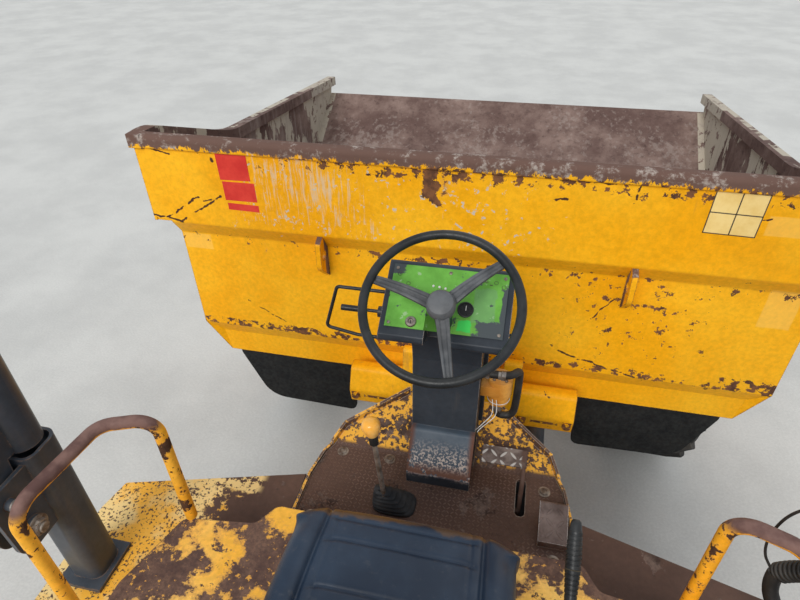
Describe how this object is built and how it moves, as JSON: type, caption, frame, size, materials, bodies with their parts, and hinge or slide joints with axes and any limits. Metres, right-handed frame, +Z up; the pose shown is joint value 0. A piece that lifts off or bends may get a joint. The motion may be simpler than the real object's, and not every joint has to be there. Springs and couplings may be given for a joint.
{
  "type": "site dumper",
  "caption": "Articulated front-tip site dumper with a wide steel skip ahead of an open driver's place, folding roll-over hoop, rear engine and lugged tyres.",
  "frame": {"origin": "on the ground below the centre of the parked machine's box", "axes": "+Y forward over the skip, +X to the driver's right, +Z up"},
  "size_m": [2.5, 4.72, 3.2],
  "materials": {
    "skip_paint": "worn orange-yellow paint",
    "flap_rubber": "matt speckled rubber",
    "chassis_yellow": "worn orange-yellow paint",
    "axle_iron": "painted casting",
    "ram_paint": "satin",
    "ram_chrome": "polished",
    "chassis_grey": "satin blue-grey paint",
    "floor_rust": "rusted plate",
    "deck_yellow": "flaking yellow paint",
    "engine_iron": "casting",
    "bonnet_yellow": "orange-yellow paint",
    "console_grey": "satin blue-grey paint",
    "lamp_red": "red lens",
    "exhaust_rust": "rusted steel",
    "dark_steel": "satin black",
    "grip_black": "satin",
    "rail_yellow": "worn yellow paint",
    "rops_grey": "satin blue-grey paint",
    "seat_vinyl": "seat vinyl",
    "lever_steel": "worn steel",
    "tyre_rubber": "tyre rubber",
    "rim_paint": "worn yellow paint"
  },
  "bodies": {
    "rear_chassis": {"rear_frame": "chassis_grey", "rear_axle": "axle_iron", "counterweight": "chassis_grey", "rear_lamps": "lamp_red", "floor_plate": "floor_rust", "platforms": "floor_rust", "seat_deck": "deck_yellow", "engine": "engine_iron", "exhaust": "exhaust_rust", "column": "console_grey", "dash": "console_grey", "dash_controls": "dark_steel", "steering_unit": "dark_steel", "handles": "rail_yellow", "rops_sockets": "rops_grey", "seat_base": "dark_steel", "seat_cushion": "seat_vinyl", "seat_back": "seat_vinyl", "tanks": "chassis_grey", "steps": "dark_steel", "levers": "lever_steel", "pedals": "lever_steel"},
    "centre": {"centre_block": "chassis_grey"},
    "front_chassis": {"front_frame": "chassis_yellow", "front_axle": "axle_iron"},
    "skip_body": {"skip": "skip_paint", "skip_underframe": "skip_paint", "mudflaps": "flap_rubber"},
    "tip_barrel_r": {"tip_barrel_right": "ram_paint"},
    "tip_barrel_l": {"tip_barrel_left": "ram_paint"},
    "tip_rod_r": {"tip_rod_right": "ram_chrome"},
    "tip_rod_l": {"tip_rod_left": "ram_chrome"},
    "steer_barrel_b": {"steer_barrel": "ram_paint"},
    "steer_rod_b": {"steer_rod": "ram_chrome"},
    "bonnet_lid": {"bonnet": "bonnet_yellow"},
    "rops_fold": {"rops_hoop": "rops_grey"},
    "steering": {"steering_wheel": "grip_black"},
    "wheel_front_right": {"tyre_front_right": "tyre_rubber", "rim_front_right": "rim_paint"},
    "wheel_front_left": {"tyre_front_left": "tyre_rubber", "rim_front_left": "rim_paint"},
    "wheel_rear_right": {"tyre_rear_right": "tyre_rubber", "rim_rear_right": "rim_paint"},
    "wheel_rear_left": {"tyre_rear_left": "tyre_rubber", "rim_rear_left": "rim_paint"}
  },
  "joints": [
    {"name": "oscillation", "type": "hinge", "parent": "rear_chassis", "child": "centre", "pos_m": [0, -0.3, 0.785], "axis": [0, 1, 0], "range_deg": [-8, 8]},
    {"name": "steering_joint", "type": "hinge", "parent": "centre", "child": "front_chassis", "pos_m": [0, 0, 0.785], "axis": [0, 0, 1], "range_deg": [-33, 33]},
    {"name": "skip_tip", "type": "hinge", "parent": "front_chassis", "child": "skip_body", "pos_m": [0, 1.6, 0.86], "axis": [-1, 0, 0], "range_deg": [0, 75]},
    {"name": "rops_fold", "type": "hinge", "parent": "rear_chassis", "child": "rops_fold", "pos_m": [0, -0.81, 1.62], "axis": [1, 0, 0], "range_deg": [0, 90]},
    {"name": "bonnet_lid", "type": "hinge", "parent": "rear_chassis", "child": "bonnet_lid", "pos_m": [0, -2.27, 1.125], "axis": [-1, 0, 0], "range_deg": [-60, 0]},
    {"name": "steering_wheel_turn", "type": "hinge", "parent": "rear_chassis", "child": "steering", "pos_m": [0, -0.31, 2.02], "axis": [0, -0.5388, 0.8425], "continuous": true},
    {"name": "tip_barrel_r_hinge", "type": "hinge", "parent": "front_chassis", "child": "tip_barrel_r", "pos_m": [0.33, 0.25, 0.72], "axis": [1, 0, 0], "range_deg": [-1, 13]},
    {"name": "tip_rod_r_slide", "type": "slide", "parent": "tip_barrel_r", "child": "tip_rod_r", "axis": [0, 0.9762, 0.2169], "range_m": [-0.001, 0.501]},
    {"name": "tip_barrel_l_hinge", "type": "hinge", "parent": "front_chassis", "child": "tip_barrel_l", "pos_m": [-0.33, 0.25, 0.72], "axis": [1, 0, 0], "range_deg": [-1, 13]},
    {"name": "tip_rod_l_slide", "type": "slide", "parent": "tip_barrel_l", "child": "tip_rod_l", "axis": [0, 0.9762, 0.2169], "range_m": [-0.001, 0.501]},
    {"name": "steer_barrel_hinge", "type": "hinge", "parent": "centre", "child": "steer_barrel_b", "pos_m": [-0.23, -0.38, 0.6], "axis": [0, 0, 1], "range_deg": [-2.9, 2.9]},
    {"name": "steer_rod_slide", "type": "slide", "parent": "steer_barrel_b", "child": "steer_rod_b", "axis": [0.068, 0.9977, 0], "range_m": [-0.114, 0.114]},
    {"name": "wheel_front_right_spin", "type": "hinge", "parent": "front_chassis", "child": "wheel_front_right", "pos_m": [0.985, 1.41, 0.585], "axis": [1, 0, 0], "continuous": true},
    {"name": "wheel_front_left_spin", "type": "hinge", "parent": "front_chassis", "child": "wheel_front_left", "pos_m": [-0.985, 1.41, 0.585], "axis": [1, 0, 0], "continuous": true},
    {"name": "wheel_rear_right_spin", "type": "hinge", "parent": "rear_chassis", "child": "wheel_rear_right", "pos_m": [0.985, -1.36, 0.585], "axis": [1, 0, 0], "continuous": true},
    {"name": "wheel_rear_left_spin", "type": "hinge", "parent": "rear_chassis", "child": "wheel_rear_left", "pos_m": [-0.985, -1.36, 0.585], "axis": [1, 0, 0], "continuous": true}
  ],
  "couplings": [
    {"joint": "tip_barrel_r_hinge", "follows": "skip_tip", "ratio": 0.16041},
    {"joint": "tip_rod_r_slide", "follows": "skip_tip", "m_per_rad": 0.38044},
    {"joint": "tip_barrel_l_hinge", "follows": "skip_tip", "ratio": 0.16041},
    {"joint": "tip_rod_l_slide", "follows": "skip_tip", "m_per_rad": 0.38044},
    {"joint": "steer_barrel_hinge", "follows": "steering_joint", "ratio": 0.0716},
    {"joint": "steer_rod_slide", "follows": "steering_joint", "m_per_rad": -0.19515}
  ]
}
